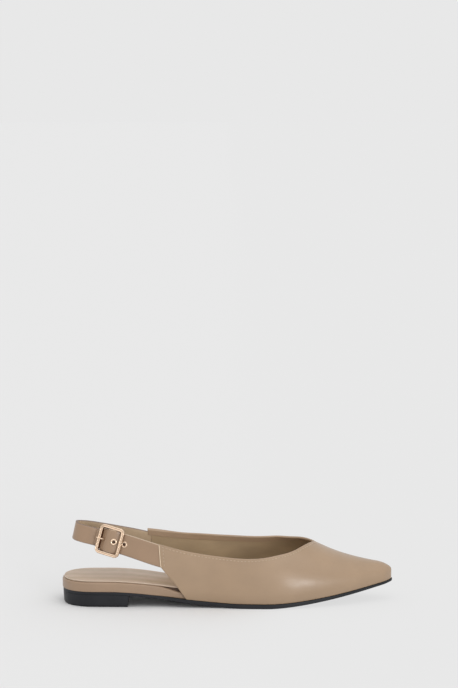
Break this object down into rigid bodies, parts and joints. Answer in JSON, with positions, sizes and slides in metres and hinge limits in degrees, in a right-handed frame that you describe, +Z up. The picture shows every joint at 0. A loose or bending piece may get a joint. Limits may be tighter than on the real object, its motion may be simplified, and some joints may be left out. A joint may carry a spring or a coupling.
{
  "type": "sling back flat shoe",
  "caption": "Right sling back flat with a pointed closed toe, a low heel block and a heel strap that closes with a square frame buckle on the outer side.",
  "frame": {"origin": "middle of the heel block's resting face, on the floor plane", "axes": "+X to the toe, +Y to the inner (medial) side of the foot, +Z up"},
  "size_m": [0.269, 0.0737, 0.0663],
  "materials": {
    "outsole": "satin",
    "heel": "satin",
    "footbed": "satin",
    "sock": "matte",
    "upper": "satin",
    "front_strap": "satin",
    "heel_strap": "satin",
    "buckle_frame": "polished rose gold plate",
    "prong": "polished rose gold plate",
    "eyelets": "polished rose gold plate"
  },
  "bodies": {
    "root": {"outsole": "outsole", "heel": "heel", "footbed": "footbed", "sock": "sock", "upper": "upper", "front_strap": "front_strap", "heel_strap": "heel_strap", "buckle_frame": "buckle_frame", "prong": "prong", "eyelet_b": "eyelets", "eyelet_c": "eyelets"}
  },
  "joints": []
}
